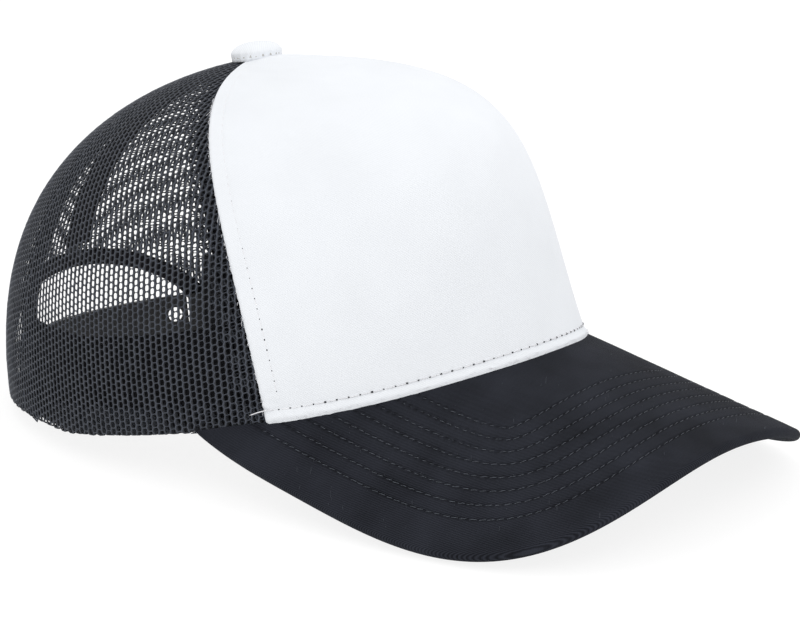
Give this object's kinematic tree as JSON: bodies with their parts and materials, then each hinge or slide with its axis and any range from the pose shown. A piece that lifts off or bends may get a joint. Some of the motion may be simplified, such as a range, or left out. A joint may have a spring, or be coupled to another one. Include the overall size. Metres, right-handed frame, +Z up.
{
  "type": "trucker mesh cap",
  "caption": "Mesh-backed cap with a tall white front panel, curved stitched visor, covered button, sweatband and an adjustable rear snap strap under an arched opening.",
  "frame": {"origin": "on the table under the middle of the cap's bounding box, in its resting pose", "axes": "+Z up, visor points to -Y, +X is the wearer's left"},
  "size_m": [0.165, 0.281, 0.1227],
  "materials": {
    "white_twill": "bluish white cotton twill with a fine diagonal weave and white topstitching",
    "stiff_lining": "stiff open-weave lining behind the front panel",
    "black_mesh": "black polyester mesh with staggered six-sided holes about 2.3 mm apart",
    "seam_tape": "black twill tape sewn over the inside of each seam",
    "mesh_hem": "turned lower edge of the mesh",
    "binding_tape": "black folded tape around the rear opening",
    "sweatband_cloth": "black cotton sweatband with a fine rib",
    "visor_twill": "black twill with fine cross ribs and eight rows of stitching",
    "visor_board": "bent plastic board inside the visor",
    "button_metal": "plain pressed steel",
    "snap_plastic": "black moulded snap strap"
  },
  "bodies": {
    "root": {"arch_binding": "binding_tape", "back_mesh_left": "black_mesh", "back_mesh_right": "black_mesh", "button_cover": "white_twill", "button_rivet": "button_metal", "button_shell": "button_metal", "button_washer": "button_metal", "front_lining": "stiff_lining", "front_panel": "white_twill", "hem_left": "mesh_hem", "hem_right": "mesh_hem", "seam_tape_back": "seam_tape", "seam_tape_front_left": "seam_tape", "seam_tape_front_right": "seam_tape", "seam_tape_rear_left": "seam_tape", "seam_tape_rear_right": "seam_tape", "side_mesh_left": "black_mesh", "side_mesh_right": "black_mesh", "strap_tab_left": "snap_plastic", "strap_tab_right": "snap_plastic", "sweatband": "sweatband_cloth", "visor_board": "visor_board", "visor_top_cloth": "visor_twill", "visor_under_cloth": "visor_twill"},
    "hole_strap_arm": {"hole_strap": "snap_plastic"},
    "stud_strap_arm": {"stud_strap": "snap_plastic"}
  },
  "joints": [
    {"name": "hole_strap_swing", "type": "hinge", "parent": "root", "child": "hole_strap_arm", "pos_m": [0.03962, 0.12251, 0.00955], "axis": [0, -0.1219, -0.9925], "range_deg": [0, 60]},
    {"name": "stud_strap_swing", "type": "hinge", "parent": "root", "child": "stud_strap_arm", "pos_m": [-0.03872, 0.12131, 0.0097], "axis": [0, -0.1219, -0.9925], "range_deg": [0, 20]}
  ]
}
